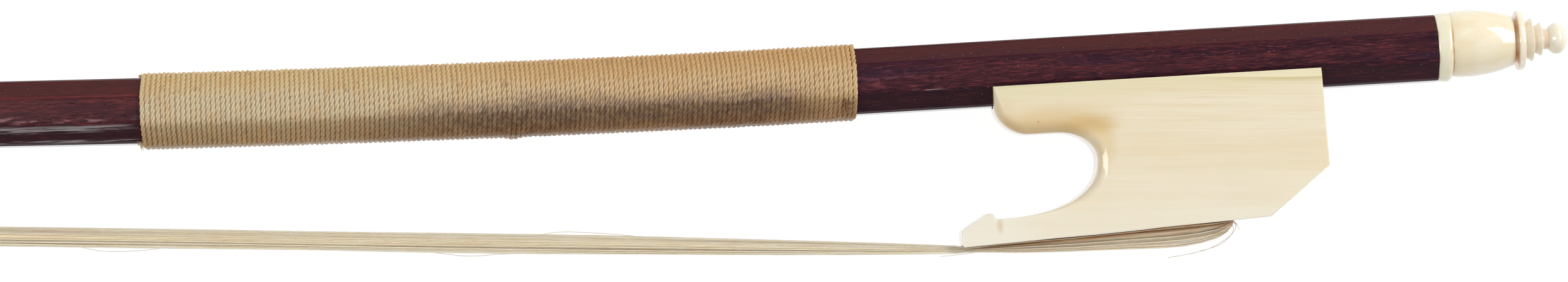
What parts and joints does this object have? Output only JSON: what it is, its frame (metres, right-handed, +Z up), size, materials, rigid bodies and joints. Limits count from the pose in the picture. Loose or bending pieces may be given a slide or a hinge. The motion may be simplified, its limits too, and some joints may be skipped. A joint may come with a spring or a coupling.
{
  "type": "baroque bow",
  "caption": "Baroque bow with cambered octagonal stick, pike's head, cord lapping, sculpted open frog moved by a screw and turned button, and a slack ribbon of hair.",
  "frame": {"origin": "the middle of the whole bow's footprint, on the flat surface that it lies on", "axes": "+X along the stick from the head to the screw button, +Y from the hair to the stick, +Z up, out of the side that faces the camera"},
  "size_m": [0.7384, 0.0666, 0.013],
  "materials": {
    "snakewood": "dark red-brown hardwood, hand planed and lightly polished, with black pores",
    "ivory": "warm off-white ivory or bone, polished, with a fine grain",
    "steel": "plain screw steel",
    "brass": "plain worn brass",
    "plug_wood": "pale unvarnished plug wood",
    "bound_hair": "hair tied with waxed thread and sealed with rosin",
    "horsehair": "blond horsehair, loose",
    "hemp_cord": "laid cord, stained where the hand holds it"
  },
  "bodies": {
    "stick": {"stick": "snakewood", "stick_end_collar": "ivory", "head_plug": "plug_wood", "head_hair_knot": "bound_hair", "hair_ribbon": "horsehair", "lapping_cord": "hemp_cord"},
    "button": {"button": "ivory", "screw": "steel"},
    "frog": {"frog": "ivory", "frog_plug": "plug_wood", "frog_hair_knot": "bound_hair", "eyelet": "brass"}
  },
  "joints": [
    {"name": "button_turn", "type": "hinge", "parent": "stick", "child": "button", "pos_m": [0.34871, -0.00547, 0.0065], "axis": [-1, 0, 0], "range_deg": [-900, 3600]},
    {"name": "frog_slide", "type": "slide", "parent": "stick", "child": "frog", "axis": [1, 0, 0], "range_m": [-0.002, 0.008], "deforming": ["hair_ribbon"]}
  ],
  "couplings": [
    {"joint": "button_turn", "follows": "frog_slide", "rad_per_m": 7854}
  ]
}
